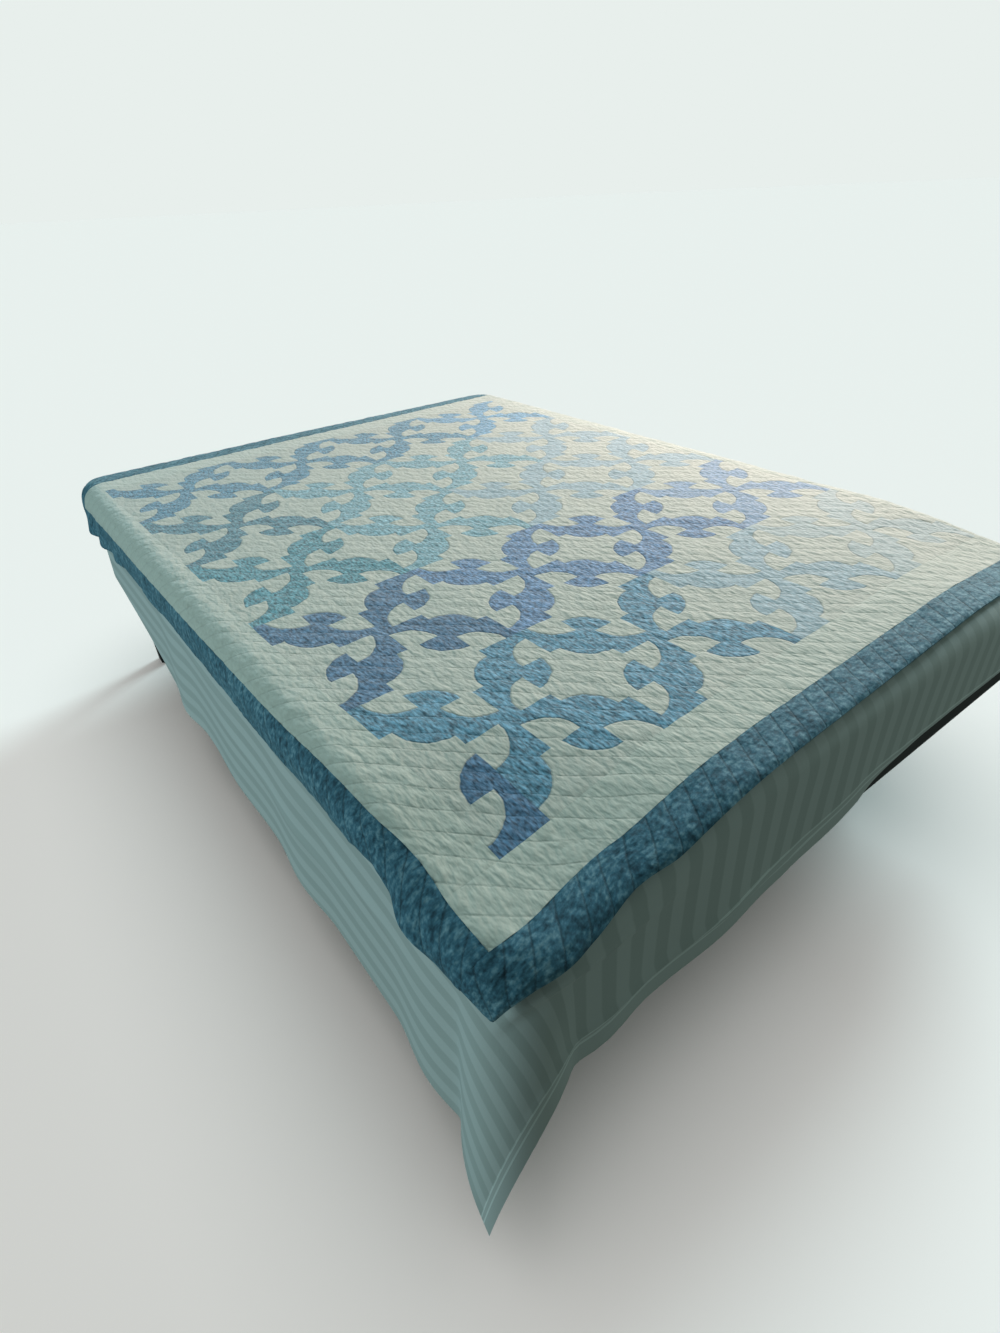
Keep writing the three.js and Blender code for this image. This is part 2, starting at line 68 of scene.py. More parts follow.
# The bed's own sizes, in millimetres, as its solids have them
PATCH = 80.0
PATCHES = (16, 20)
CENTRE = np.array(PATCHES) * PATCH
WHITE_BORDER = 76.0
BLUE_BORDER = 64.0
QUILT_THICK = 5.0
SEAM_GAP = 0.1
QUILT_TURN = math.radians(1.7)
MATTRESS = np.array([1372.0, 1905.0, 203.0])
EDGE_ROUND = 45.0
CORNER_PLAN = 45.0
SHEET_THICK = 1.5
REST_GAP = 0.3
SHEET_CLEAR = 4.0
QUILT_CLEAR = 20.0
LAYER_EASE = 2.5
EASE_SPREAD = 1.4
MATTRESS_BASE = 380.0 + REST_GAP
MATTRESS_TOP = MATTRESS_BASE + MATTRESS[2]
SHEET_MIDDLE = MATTRESS_TOP + REST_GAP + SHEET_THICK / 2
QUILT_MIDDLE = SHEET_MIDDLE + SHEET_THICK / 2 + REST_GAP + QUILT_THICK / 2
CORE_X = MATTRESS[0] / 2 - EDGE_ROUND
CORE_Y = MATTRESS[1] / 2 - EDGE_ROUND
TINY = 1e-9

# Where the flat quilt is pulled out of square: the place, how far it is pulled and how far that spreads
TUGS = [
    ((-640, -800), (14, -11), 480),
    ((-716, -740), (6, 0), 75),
    ((-780, -690), (18, 0), 80),
    ((-780, -830), (-9, 0), 75),
    ((-680, -876), (0, -5), 70),
    ((-570, -880), (0, 4), 80),
    ((-545, -940), (0, 9), 75),
    ((-660, -940), (0, -6), 60),
]

# Which way each side of the bed faces
SIDES = {"left": (-1, 0), "right": (1, 0), "foot": (0, -1), "head": (0, 1)}

# Worn mattress corners: which corner, how far it has sunk and how far that spreads
SOFT_CORNERS = [((-1, -1), 44.0, 420.0), ((1, -1), 34.0, 420.0)]

# How much sheet hangs below the bed's top along each side, and the share of it that is tucked in
TUCK_TURN = math.radians(65)
STRAIGHT_SIDE = MATTRESS[2] - 2 * EDGE_ROUND
TUCKED_FALL = EDGE_ROUND + STRAIGHT_SIDE + EDGE_ROUND * TUCK_TURN
LEAST_TUCK = 0.001
HEMS = {
    "left": {"at": [-952, 320, 448, 576, 700, 900], "fall": [410, 385, 345, 312, 288, 258], "tuck": [0] * 6},
    "foot": {"at": [-400, -190, 0, 200], "fall": [257, 240, 209, TUCKED_FALL], "tuck": [0, 0, 0.1, 1]},
    "right": {"at": [0], "fall": [TUCKED_FALL], "tuck": [1]},
    "head": {"at": [-600, -480, -380], "fall": [245, 222, TUCKED_FALL], "tuck": [0, 0.3, 1]},
}

# How the sheet lies: hang from level on each side, lifted corners, and folds (side, at, half width, lift)
SHEET = {
    "half_x": CORE_X + SHEET_CLEAR,
    "half_y": CORE_Y + SHEET_CLEAR,
    "roll": EDGE_ROUND + REST_GAP + SHEET_THICK / 2,
    "middle": SHEET_MIDDLE,
    "ease": LAYER_EASE,
    "tucked": True,
    "hang": {"left": 87, "right": 89, "foot": 89.5, "head": 89},
    "corners": [(-1, -1, 9)],
    "folds": [
        ("left", -800, 110, 2), ("left", -380, 130, 1.5), ("left", -60, 170, 1), ("left", 260, 120, 2),
        ("foot", -560, 90, 2.5), ("foot", -330, 110, 1.5), ("foot", -60, 120, 1.5),
    ],
}

# How the quilt lies: stiff, so it stands off the edge and waves along its sides
QUILT = {
    "half_x": CORE_X + QUILT_CLEAR,
    "half_y": CORE_Y + QUILT_CLEAR,
    "roll": EDGE_ROUND + SHEET_THICK + 2 * REST_GAP + QUILT_THICK / 2,
    "middle": QUILT_MIDDLE,
    "ease": 2 * LAYER_EASE,
    "tucked": False,
    "hang": {"left": 89, "right": 82, "foot": 80, "head": 80},
    "corners": [(-1, -1, 8), (1, -1, 12), (-1, 1, 8), (1, 1, 12)],
    "folds": [
        ("left", -805, 70, 34), ("left", -690, 75, -18), ("left", -600, 180, -8), ("left", -300, 150, 2),
        ("left", -80, 160, 1), ("left", 260, 130, 4), ("left", 560, 70, 8), ("left", 700, 65, 12),
        ("left", 830, 60, 12),
        ("right", -560, 150, 8), ("right", -120, 180, 5), ("right", 420, 170, 9),
        ("foot", -520, 110, 12), ("foot", -60, 160, 8), ("foot", 380, 150, 10),
        ("head", -300, 150, 8), ("head", 250, 170, 10),
    ],
}

# Which way the quilting lines run, in degrees from across the bed: on the centre, and on each strip of the
# white and the blue border
FIELD_LEAN = -45
WHITE_LEANS = dict.fromkeys(SIDES, FIELD_LEAN)
BLUE_LEANS = {"left": 38, "right": 38, "foot": 58, "head": 58}

# How the quilting lines wander: over what length, how far, and the draw that sets it
LINE_WANDER = [(210, 7, 3), (55, 6, 4)]

# How the wadding puffs up between two lines
PUFF_POWER = 0.5
PUFF_MEAN = 0.65

# The washed-in puckers: how far they lean, what is left of them at a line, how many stand across a channel
# and how far the next channel's are moved on
PUCKER_LEAN = 1.0
PUCKER_AT_LINE = 0.3
PUCKERS_ACROSS = 1.3
PUCKER_SHIFT = 7.3
PUCKER_DRAW = 5

# The slow unevenness of the wadding
SLOW_LENGTH = 60
SLOW_RISE = 1.8
SLOW_DRAW = 9

# The edges of a panel: how far in and how deep the quilt's hem rounds off and how far it may puff up,
# and how deep and wide the ditch at a seam is
HEM_IN = 6.0
HEM_DROP = 1.9
HEM_PUFF = 0.6
SEAM_DITCH = 0.35
SEAM_WIDE = 4.0

# Lines of a panel's upper face to one of its under face, and the turn above which an edge is sharp
UNDER_STEP = 4
SMOOTH_TURN = math.radians(50)

# The same relief in the materials: puckers and streaks on the slant, in metres, the half groove of a line as
# a share of a channel, heights in millimetres, and how a bump node takes these. The streaks also paint the
# cloth lighter on their crests and darker in their troughs, as painted highlight and shade.
PUCKER_LONG = 0.026
STREAK_WIDE = 0.0055
STREAK_LONG = 0.014
STREAK_SHIFT = 3.1
GROOVE_HALF = 0.08
GROOVE_DEEP = 0.28
PUCKER_HIGH = 3.5
STREAK_HIGH = 0.4
RELIEF = {"Strength": 1.0, "Distance": MM}

# Where a streak's trough, painted darker as shade, ends and its crest, painted lighter as highlight, begins,
# and the painted shade of the cloth in the groove along a line
STREAK_LOW = 0.32
STREAK_TOP = 0.68
LINE_SHADE = 0.9

# A mix node's sockets by number, because their names repeat: two colours and their mix, and two values
COLOUR_A, COLOUR_B, COLOUR_MIX = 6, 7, 2
VALUE_A, VALUE_B = 2, 3

# Curved seams: the size of their wander in metres, then as shares of a patch how far they wander, how soft
# their edge and how wide their ditch is, the depth of the ditch in millimetres, and the tone of the painted
# shade in the ditch
CURVE = {"wander": 0.018, "reach": 0.07, "soft": 0.008, "ditch": 0.035, "deep": 0.6, "tone": 0.8}

# The mottled blue: sizes of its crackle and its clouds in metres, the shares of streaks and clouds in it, the
# streaks being painted highlight and shade of the relief, the tone of the painted shade in its stitched
# grooves, and where its dark, middle and light tones stand
MOTTLE = {"crackle": 0.009, "cloud": 0.05, "streaks": 0.3, "clouds": 0.25, "line": 0.6}
MOTTLE_TONES = (0.37, 0.51, 0.67)

# One block of the quilt, four patches square, from its foot row up and from left to right.
# D is a dark square with a light quarter disc, L a light square with a dark one; the two letters
# after it name the disc's corner: T head, B foot, L left, R right.
BLOCK_SIDE = 4
BLOCK = [
    ["D TL", "L TL", "L TR", "D BL"],
    ["L BR", "D TL", "D BL", "L BL"],
    ["L TR", "D TR", "D BR", "L TL"],
    ["D TR", "L BL", "L BR", "D BR"],
]

# Which blue cloth each block is cut from, rows from the foot. The pale blues of the two right-hand columns
# are partly paler cloth and partly painted glare of the light from the right
BLUE_LAYOUT = [
    ["cornflower", "cornflower", "mist", "pale_with_glare"],
    ["slate", "violet", "violet", "haze"],
    ["teal", "aqua", "mist", "mist"],
    ["dusk", "aqua", "aqua", "mist"],
    ["steel", "steel", "steel", "sky"],
]

# Single patches cut from another cloth: patch across and along the quilt, counted from the near left
ODD_PATCHES = {(0, 0): "ink", (0, 1): "ink"}


def linear(hex_colour):
    """An sRGB hex colour as linear red, green and blue."""
    parts = [int(hex_colour[k:k + 2], 16) / 255 for k in (1, 3, 5)]
    return [c / 12.92 if c <= 0.04045 else ((c + 0.055) / 1.055) ** 2.4 for c in parts]


BLUE_CLOTHS = {
    "cornflower": linear("#6697b0"),
    "ink": linear("#567c9d"),
    "sky": linear("#74a6c6"),
    "slate": linear("#587d9d"),
    "violet": linear("#6c90b6"),
    "haze": linear("#88a6c4"),
    "teal": linear("#629aa8"),
    "aqua": linear("#85b1be"),
    "dusk": linear("#5e8d9d"),
    "steel": linear("#6093ad"),
    # The two palest blues are partly paler cloth and partly painted glare
    "mist": linear("#a0bac5"),
    "pale_with_glare": linear("#b2c3c5"),
}

# How strongly each cloth is painted lighter on its crests and darker in its troughs, as painted highlight and
# shade; the palest blues and the light cloths hardly show it
RELIEF_SHADING = {"pale_with_glare": 0.12, "mist": 0.2, "haze": 0.35, "sky": 0.45, "aqua": 0.45}
RELIEF_SHADING_USUAL = 0.6
RELIEF_SHADING_PALE = 0.05


def size_prop(name, description, default):
    """A length that a user may change, in metres."""
    return FloatProperty(name=name, description=description, default=default, unit="LENGTH")


def colour_prop(name, description, hex_colour):
    """A cloth or paint colour that a user may change."""
    return FloatVectorProperty(
        name=name, description=description, subtype="COLOR", size=3, min=0, max=1, default=linear(hex_colour)
    )


class QuiltSizes(bpy.types.PropertyGroup):
    """Sizes of the sewing that a user may change"""
    cell: size_prop("Mesh cell", "Spacing of the quilt's mesh", 0.005)
    line_spacing: size_prop("Quilting spacing", "Distance between two quilting lines", 0.032)
    line_rise: size_prop("Quilting rise", "Height of the wadding between two quilting lines", 0.001)
    pucker: size_prop("Pucker", "Distance between two washed-in puckers", 0.013)
    pucker_rise: size_prop("Pucker rise", "Height of the washed-in puckers between the lines", 0.0017)
    disc: FloatProperty(
        name="Disc", description="Radius of a quarter disc as a share of its patch", default=0.73
    )
    stripe: size_prop("Stripe", "Width of a light and a dark stripe of the sheet together", 0.047)
    foot_hem: size_prop("Foot hem", "Depth of the plain hem at the foot of the sheet", 0.05)
    hem_rows: size_prop("Hem rows", "Distance between the two stitched rows of the foot hem", 0.015)


class QuiltColours(bpy.types.PropertyGroup):
    """Colours that a user may change"""
    cream: colour_prop("Cream cotton", "Light cloth of the pieced centre", "#c3cac1")
    white: colour_prop("White cotton", "Cloth of the white border", "#c0cac0")
    border: colour_prop("Border blue", "Middle tone of the mottled blue border", "#3f7085")
    border_dark: colour_prop("Border dark", "Dark marks of the mottled blue border", "#1d4354")
    border_light: colour_prop("Border light", "Light marks of the mottled blue border", "#7ea6b5")
    sheet: colour_prop("Sheet", "Light stripe of the sheet", "#b9c6c6")
    sheet_dark: colour_prop("Sheet stripe", "Darker satin stripe of the sheet", "#a9b7b6")
    ticking: colour_prop("Ticking", "Cloth of the mattress", "#d8d6cf")
    steel: colour_prop("Frame", "Powder coat of the bed frame", "#15181b")
    floor: colour_prop("Floor", "The floor under the bed", "#f4f4f3")


def bell(t):
    """A soft bump: one in the middle, level at both ends."""
    return np.where(np.abs(t) < 1, 0.5 + 0.5 * np.cos(np.pi * np.clip(t, -1, 1)), 0.0)


def lumps(x, y, draw):
    """Smooth unevenness from -0.5 to 0.5 over cells one unit across, the same on every run."""
    cells = 64
    table = np.random.RandomState(draw).rand(cells, cells) - 0.5
    i, j = np.floor(x).astype(int), np.floor(y).astype(int)
    fx, fy = x - i, y - j
    fx, fy = fx * fx * (3 - 2 * fx), fy * fy * (3 - 2 * fy)
    i, j, next_i, next_j = i % cells, j % cells, (i + 1) % cells, (j + 1) % cells
    low = table[i, j] * (1 - fx) + table[next_i, j] * fx
    high = table[i, next_j] * (1 - fx) + table[next_i, next_j] * fx
    return low * (1 - fy) + high * fy


def sink(points, ease):
    """The sunken corners lower what lies above the mattress base; higher layers bridge them a little."""
    share = np.maximum((points[..., 2] - MATTRESS_BASE) / MATTRESS[2], 0)
    for (side_x, side_y), depth, spread in SOFT_CORNERS:
        across = points[..., 0] - side_x * MATTRESS[0] / 2
        along = points[..., 1] - side_y * MATTRESS[1] / 2
        away = np.hypot(across, along)
        bridged = ease * bell(away / (EASE_SPREAD * spread))
        points[..., 2] -= share * (depth * bell(away / spread) - bridged)
    return points


def lie(cloth, x, y):
    """Where flat places on a cloth come to lie: flat on top, rolled over the edge, hanging, then tucked."""
    out_x = np.maximum(np.abs(x) - (cloth["half_x"] - CORNER_PLAN), 0)
    out_y = np.maximum(np.abs(y) - (cloth["half_y"] - CORNER_PLAN), 0)
    far = np.hypot(out_x, out_y)
    past = np.maximum(far - CORNER_PLAN, 0)
    face_x = out_x / np.maximum(far, TINY) * np.sign(x)
    face_y = out_y / np.maximum(far, TINY) * np.sign(y)
    degrees = np.zeros_like(past)
    tuck = np.zeros_like(past)
    for name, (side_x, side_y) in SIDES.items():
        weight = np.maximum(face_x * side_x + face_y * side_y, 0) ** 2
        along = y if side_x else x
        folds = [row for row in cloth["folds"] if row[0] == name]
        lift = sum(lift * bell((along - at) / half) for _, at, half, lift in folds)
        degrees += weight * (cloth["hang"][name] - lift)
        if cloth["tucked"]:
            tuck += weight * np.interp(along, HEMS[name]["at"], HEMS[name]["tuck"])
    for corner_x, corner_y, lift in cloth["corners"]:
        faced = (face_x * corner_x > 0) & (face_y * corner_y > 0)
        degrees -= np.where(faced, lift * 2 * np.abs(face_x * face_y), 0)
    roll = cloth["roll"]
    turned = np.minimum(past / roll, np.radians(degrees))
    straight = past - turned * roll
    curled = np.where(tuck > 0, np.maximum(straight - STRAIGHT_SIDE, 0), 0)
    hung = straight - curled
    bend = roll / np.maximum(tuck, LEAST_TUCK)
    last = turned + curled / bend
    reach = roll * np.sin(turned) + hung * np.cos(turned) + bend * (np.sin(last) - np.sin(turned))
    fall = roll * (1 - np.cos(turned)) + hung * np.sin(turned) + bend * (np.cos(turned) - np.cos(last))
    shift = reach - past
    points = np.stack([x + face_x * shift, y + face_y * shift, cloth["middle"] - fall], -1)
    return sink(points, cloth["ease"])


def lie_normal(cloth, x, y, step=0.5):
    """The upward normals of a cloth's middle surface."""
    along_x = lie(cloth, x + step, y) - lie(cloth, x - step, y)
    along_y = lie(cloth, x, y + step) - lie(cloth, x, y - step)
    normal = np.cross(along_x, along_y)
    return normal / np.linalg.norm(normal, axis=-1, keepdims=True)


def quilt_place(u, v):
    """Flat places on the quilt, turned a little on the bed and tugged out of square near its left foot."""
    x = u * math.cos(QUILT_TURN) - v * math.sin(QUILT_TURN)
    y = u * math.sin(QUILT_TURN) + v * math.cos(QUILT_TURN)
    for (tug_u, tug_v), (pull_x, pull_y), spread in TUGS:
        share = bell(np.hypot(u - tug_u, v - tug_v) / spread)
        x = x + share * pull_x
        y = y + share * pull_y
    return x, y


def quilting_lines(u, v, lean):
    """How far places lie along and across the quilting lines, which wander a little."""
    turn = math.radians(lean)
    along = u * math.cos(turn) + v * math.sin(turn)
    across = v * math.cos(turn) - u * math.sin(turn)
    for length, reach, draw in LINE_WANDER:
        across = across + reach * lumps(u / length, v / length, draw)
    return along, across


def quilted_rise(u, v, along, across, sizes):
    """Height of the quilted face: soft channels between the lines, puckered on the slant by washing."""
    channel = across / (sizes.line_spacing / MM)
    puff = np.abs(np.sin(np.pi * channel)) ** PUFF_POWER
    slanted = (along + PUCKER_LEAN * across) / (sizes.pucker / MM)
    pucker = lumps(slanted + PUCKER_SHIFT * np.floor(channel), channel * PUCKERS_ACROSS, PUCKER_DRAW)
    slow = lumps(u / SLOW_LENGTH, v / SLOW_LENGTH, SLOW_DRAW)
    line, press = sizes.line_rise / MM, sizes.pucker_rise / MM
    held = PUCKER_AT_LINE + (1 - PUCKER_AT_LINE) * puff
    return line * (puff - PUFF_MEAN) + press * pucker * held + SLOW_RISE * slow


def grid_faces(grid):
    """The four corners of each cell in a grid of points, anticlockwise from above."""
    return np.stack([grid[:-1, :-1], grid[:-1, 1:], grid[1:, 1:], grid[1:, :-1]], -1).reshape(-1, 4)


def mesh_object(name, points, faces, material):
    """A smooth object of one material, from points in millimetres."""
    mesh = bpy.data.meshes.new(name)
    mesh.from_pydata((points * MM).tolist(), [], faces)
    mesh.polygons.foreach_set("use_smooth", np.ones(len(mesh.polygons), dtype=bool))
    mesh.materials.append(material)
    made = bpy.data.objects.new(name, mesh)
    bpy.context.collection.objects.link(made)
    return made


def cloth_object(name, upper, under, flat, step, material, quilting=None):
    """A closed cloth: a fine upper face, an under face on every step-th line, and a rim between them."""
    rows, across = upper.shape[:2]
    top = np.arange(rows * across).reshape(rows, across)
    base = rows * across + np.arange(under.shape[0] * under.shape[1]).reshape(under.shape[:2])
    faces = grid_faces(top).tolist()
    upper_count = len(faces)
    faces += grid_faces(base)[:, [0, 3, 2, 1]].tolist()
    edges = [
        (top[0], base[0]),
        (top[:, -1], base[:, -1]),
        (top[-1, ::-1], base[-1, ::-1]),
        (top[::-1, 0], base[::-1, 0]),
    ]
    for fine, coarse in edges:
        for k in range(len(coarse) - 1):
            run = fine[k * step:(k + 1) * step + 1]
            faces.append([int(coarse[k]), int(coarse[k + 1]), *(int(i) for i in run[::-1])])
    points = np.concatenate([upper.reshape(-1, 3), under.reshape(-1, 3)])
    made = mesh_object(name, points, faces, material)
    mesh = made.data
    places = np.concatenate([flat.reshape(-1, 2), flat[::step, ::step].reshape(-1, 2)]) * MM
    corners = np.empty(len(mesh.loops), dtype=np.int32)
    mesh.loops.foreach_get("vertex_index", corners)
    mesh.uv_layers.new(name="flat").data.foreach_set("uv", places[corners].ravel())
    if quilting is not None:
        lines = np.concatenate([quilting.reshape(-1, 3), quilting[::step, ::step].reshape(-1, 3)]) * MM
        mesh.attributes.new("quilting", "FLOAT_VECTOR", "POINT").data.foreach_set("vector", lines.ravel())
    mesh.validate()
    bpy.ops.object.select_all(action="DESELECT")
    bpy.context.view_layer.objects.active = made
    made.select_set(True)
    bpy.ops.object.shade_smooth_by_angle(angle=SMOOTH_TURN)
    return made, upper_count


def drawn_in(lines, outer):
    """A panel's lines, its two ends drawn in by half a seam gap where another panel meets them."""
    drawn = lines.copy()
    drawn[0] += SEAM_GAP / 2 if lines[0] > -outer else 0
    drawn[-1] -= SEAM_GAP / 2 if lines[-1] < outer else 0
    return drawn


def edged(rise, away, at_hem):
    """The rise of a panel near an edge: rounded off at the quilt's hem, or sunk into the ditch of a seam."""
    if at_hem:
        low = np.where(away < HEM_IN, np.minimum(rise, HEM_PUFF), rise)
        return low - HEM_DROP * np.clip(1 - away / HEM_IN, 0, 1) ** 2
    return rise - SEAM_DITCH * np.exp(-((away / SEAM_WIDE) ** 2))


def quilt_panel(name, node, u_ends, v_ends, sizes, lean, material, slot):
    """One panel of the quilt between two pairs of seams."""
    outer = CENTRE / 2 + WHITE_BORDER + BLUE_BORDER
    cell = sizes.cell / MM
    per_patch = UNDER_STEP * max(1, round(PATCH / cell / UNDER_STEP))
    lines = []
    for (low, high), end in zip((u_ends, v_ends), outer):
        count = per_patch * max(1, round((high - low) / PATCH))
        lines.append(drawn_in(np.linspace(low, high, count + 1), end))
    u, v = np.meshgrid(*lines)
    x, y = quilt_place(u, v)
    along, across = quilting_lines(u, v, lean)
    rise = quilted_rise(u, v, along, across, sizes)
    for places, line, end in zip((u, v), lines, outer):
        for edge in (line[0], line[-1]):
            rise = edged(rise, np.abs(places - edge), abs(abs(edge) - end) < SEAM_GAP)
    middle = lie(QUILT, x, y)
    normal = lie_normal(QUILT, x, y)
    upper = middle + normal * (QUILT_THICK / 2 + rise)[..., None]
    under = (middle - normal * QUILT_THICK / 2)[::UNDER_STEP, ::UNDER_STEP]
    quilting = np.stack([along, across, np.zeros_like(along)], -1)
    flat = np.stack([u, v], -1)
    panel, upper_count = cloth_object(name, upper, under, flat, UNDER_STEP, material, quilting)
    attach(panel, "root")
    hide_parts(node)
    return panel, lines, upper_count


def add(tree, kind, inputs=None, output=0, **settings):
    """Adds a shader node with its settings, links or sets its inputs, and gives one of its outputs."""
    made = tree.nodes.new("ShaderNode" + kind)
    for name, value in settings.items():
        setattr(made, name, value)
    for key, value in (inputs or {}).items():
        if isinstance(value, bpy.types.NodeSocket):
            tree.links.new(value, made.inputs[key])
        else:
            made.inputs[key].default_value = value
    return made.outputs[output]


def new_material(name, roughness, **sockets):
    """A material of one shader, with what is the same all over set on its own sockets."""
    material = bpy.data.materials.new(name)
    material.use_nodes = True
    tree = material.node_tree
    shader = tree.nodes["Principled BSDF"]
    shader.inputs["Roughness"].default_value = roughness
    for key, value in sockets.items():
        shader.inputs[key.replace("_", " ")].default_value = value
    return material, tree, shader


def join(tree, last, **sockets):
    """Links what changes from place to place to the last node."""
    for key, socket in sockets.items():
        tree.links.new(socket, last.inputs[key.replace("_", " ")])


def rgba(colour):
    """A colour with full alpha."""
    return (*colour[:3], 1.0)


def quilted_surface(tree, sizes):
    """Sockets for a quilted, washed face: its streaks, its stitched lines, and the height of it all.

    A place knows how far it lies along and across the lines. Puckers run on the slant from line to line,
    about 9 mm wide and 18 mm long. Streaks, which the materials paint lighter on their crests and darker in
    their troughs as painted highlight and shade, are about 4 mm by 10 mm. A stitched line is a groove 5 mm
    wide.
    """
    place = add(tree, "Attribute", output="Vector", attribute_name="quilting")
    along, across, _ = add(tree, "SeparateXYZ", {0: place}).node.outputs
    channel = add(tree, "Math", {0: across, 1: 1 / sizes.line_spacing}, operation="MULTIPLY")
    row = add(tree, "Math", {0: channel}, operation="FLOOR")
    near = add(tree, "Math", {0: channel, 1: 0.5}, operation="PINGPONG")
    slanted = add(tree, "Math", {0: across, 1: PUCKER_LEAN, 2: along}, operation="MULTIPLY_ADD")
    square = add(tree, "Math", {0: along, 1: -PUCKER_LEAN, 2: across}, operation="MULTIPLY_ADD")
    leaning = add(tree, "CombineXYZ", {0: slanted, 1: square, 2: row})
    wide = {0: leaning, 1: (1 / sizes.pucker, 1 / PUCKER_LONG, PUCKER_SHIFT)}
    fine = {0: leaning, 1: (1 / STREAK_WIDE, 1 / STREAK_LONG, STREAK_SHIFT)}
    pucker, streak = (
        add(
            tree, "TexNoise",
            {"Vector": add(tree, "VectorMath", scale, operation="MULTIPLY"), "Scale": 1.0, "Detail": detail},
        )
        for scale, detail in ((wide, 1.5), (fine, 2.5))
    )
    groove = {"Value": near, "From Min": 0.0, "From Max": GROOVE_HALF}
    line = add(tree, "MapRange", groove, interpolation_type="SMOOTHSTEP")
    height = add(tree, "Math", {0: line, 1: GROOVE_DEEP}, operation="MULTIPLY")
    for mark, rise in ((pucker, PUCKER_HIGH), (streak, STREAK_HIGH)):
        height = add(tree, "Math", {0: mark, 1: rise, 2: height}, operation="MULTIPLY_ADD")
    return streak, line, height


def painted_relief_shading(tree, colour, streak, line, share):
    """A cloth's colour with painted light: lighter on its crests as painted highlight, darker in its troughs
    and along its stitched grooves as painted shade.
    """
    # Painted highlight on the streaks' crests and painted shade in their troughs
    span = {"From Min": STREAK_LOW, "From Max": STREAK_TOP, "To Min": -1.0, "To Max": 1.0}
    crest = add(tree, "MapRange", {"Value": streak, **span})
    tone = add(tree, "Math", {0: crest, 1: share, 2: 1.0}, operation="MULTIPLY_ADD")
    # Painted shade in the groove of a stitched line
    ditch = add(tree, "MapRange", {"Value": line, "To Min": LINE_SHADE, "To Max": 1.0})
    both = add(tree, "Math", {0: tone, 1: ditch}, operation="MULTIPLY")
    return add(tree, "VectorMath", {0: colour, "Scale": both}, operation="SCALE")


def grained(tree, place, size, detail, strength, deep):
    """The normals of a face with an even grain, its size and depth in metres.

    Threads and orange peel are too fine to show in the render, so their grain is drawn coarser, 4 to 6 mm.
    """
    grain = add(tree, "TexNoise", {"Vector": place, "Scale": 1 / size, "Detail": detail})
    return add(tree, "Bump", {"Height": grain, "Strength": strength, "Distance": deep})


def waves(tree, place, spacing):
    """Even waves across the bed, so far apart in metres."""
    across = add(tree, "SeparateXYZ", {0: place})
    turns = add(tree, "Math", {0: across, 1: 2 * math.pi / spacing}, operation="MULTIPLY")
    return add(tree, "Math", {0: turns}, operation="SINE")


def pieced_cotton(sizes, colours):
    """Pieced printed cotton, quilted and washed: curved seams in a ditch darkened by painted shade, soft matt
    cloth, streaks painted lighter on their crests and darker in their troughs.
    """
    material, tree, shader = new_material(
        "pieced cotton, quilted and washed", 0.85,
        Sheen_Weight=0.4, Sheen_Roughness=0.5, Specular_IOR_Level=0.3,
    )
    flat = add(tree, "UVMap", uv_map="flat")
    patches = add(tree, "VectorMath", {0: flat, "Scale": 1 / (PATCH * MM)}, operation="SCALE")
    part = add(tree, "VectorMath", {0: patches}, operation="FRACTION")
    noise = {"Vector": flat, "Scale": 1 / CURVE["wander"], "Detail": 2.0}
    wander = add(tree, "TexNoise", noise, output="Color")
    off = add(tree, "VectorMath", {0: wander, 1: (-0.5, -0.5, -0.5)}, operation="ADD")
    moved = {0: off, 1: (CURVE["reach"], CURVE["reach"], 0), 2: part}
    uneven = add(tree, "VectorMath", moved, operation="MULTIPLY_ADD")
    disc = add(tree, "Attribute", output="Vector", attribute_name="disc_corner")
    level = add(tree, "VectorMath", {0: uneven, 1: (1, 1, 0)}, operation="MULTIPLY")
    away = add(tree, "VectorMath", {0: level, 1: disc}, output="Value", operation="DISTANCE")
    beyond = add(tree, "Math", {0: away, 1: sizes.disc}, operation="SUBTRACT")
    edge = {"From Min": -CURVE["soft"], "From Max": CURVE["soft"], "To Min": 1.0, "To Max": 0.0}
    inside = add(tree, "MapRange", {"Value": beyond, **edge})
    ground = add(tree, "Attribute", output="Fac", attribute_name="dark_ground")
    apart = add(tree, "Math", {0: ground, 1: inside}, operation="SUBTRACT")
    dark = add(tree, "Math", {0: apart}, operation="ABSOLUTE")
    to_seam = add(tree, "Math", {0: beyond}, operation="ABSOLUTE")
    ditch = {"Value": to_seam, "From Min": 0.0, "From Max": CURVE["ditch"]}
    seam = add(tree, "MapRange", ditch, interpolation_type="SMOOTHSTEP")
    streak, line, height = quilted_surface(tree, sizes)
    blue = add(tree, "Attribute", attribute_name="blue_cloth").node.outputs
    cream = add(tree, "RGB")
    cream.default_value = rgba(colours.cream)
    # Both cloths carry painted highlight on the crests and painted shade in the troughs and grooves
    cloths = {
        0: dark,
        COLOUR_A: painted_relief_shading(tree, cream, streak, line, RELIEF_SHADING_PALE),
        COLOUR_B: painted_relief_shading(tree, blue["Color"], streak, line, blue["Alpha"]),
    }
    colour = add(tree, "Mix", cloths, output=COLOUR_MIX, data_type="RGBA")
    # The ditch along each curved seam is painted darker: painted shade
    shade = add(tree, "MapRange", {"Value": seam, "To Min": CURVE["tone"], "To Max": 1.0})
    seamed = add(tree, "VectorMath", {0: colour, "Scale": shade}, operation="SCALE")
    sunk = add(tree, "Math", {0: seam, 1: CURVE["deep"], 2: height}, operation="MULTIPLY_ADD")
    relief = add(tree, "Bump", {"Height": sunk, **RELIEF})
    join(tree, shader, Base_Color=seamed, Normal=relief)
    return material


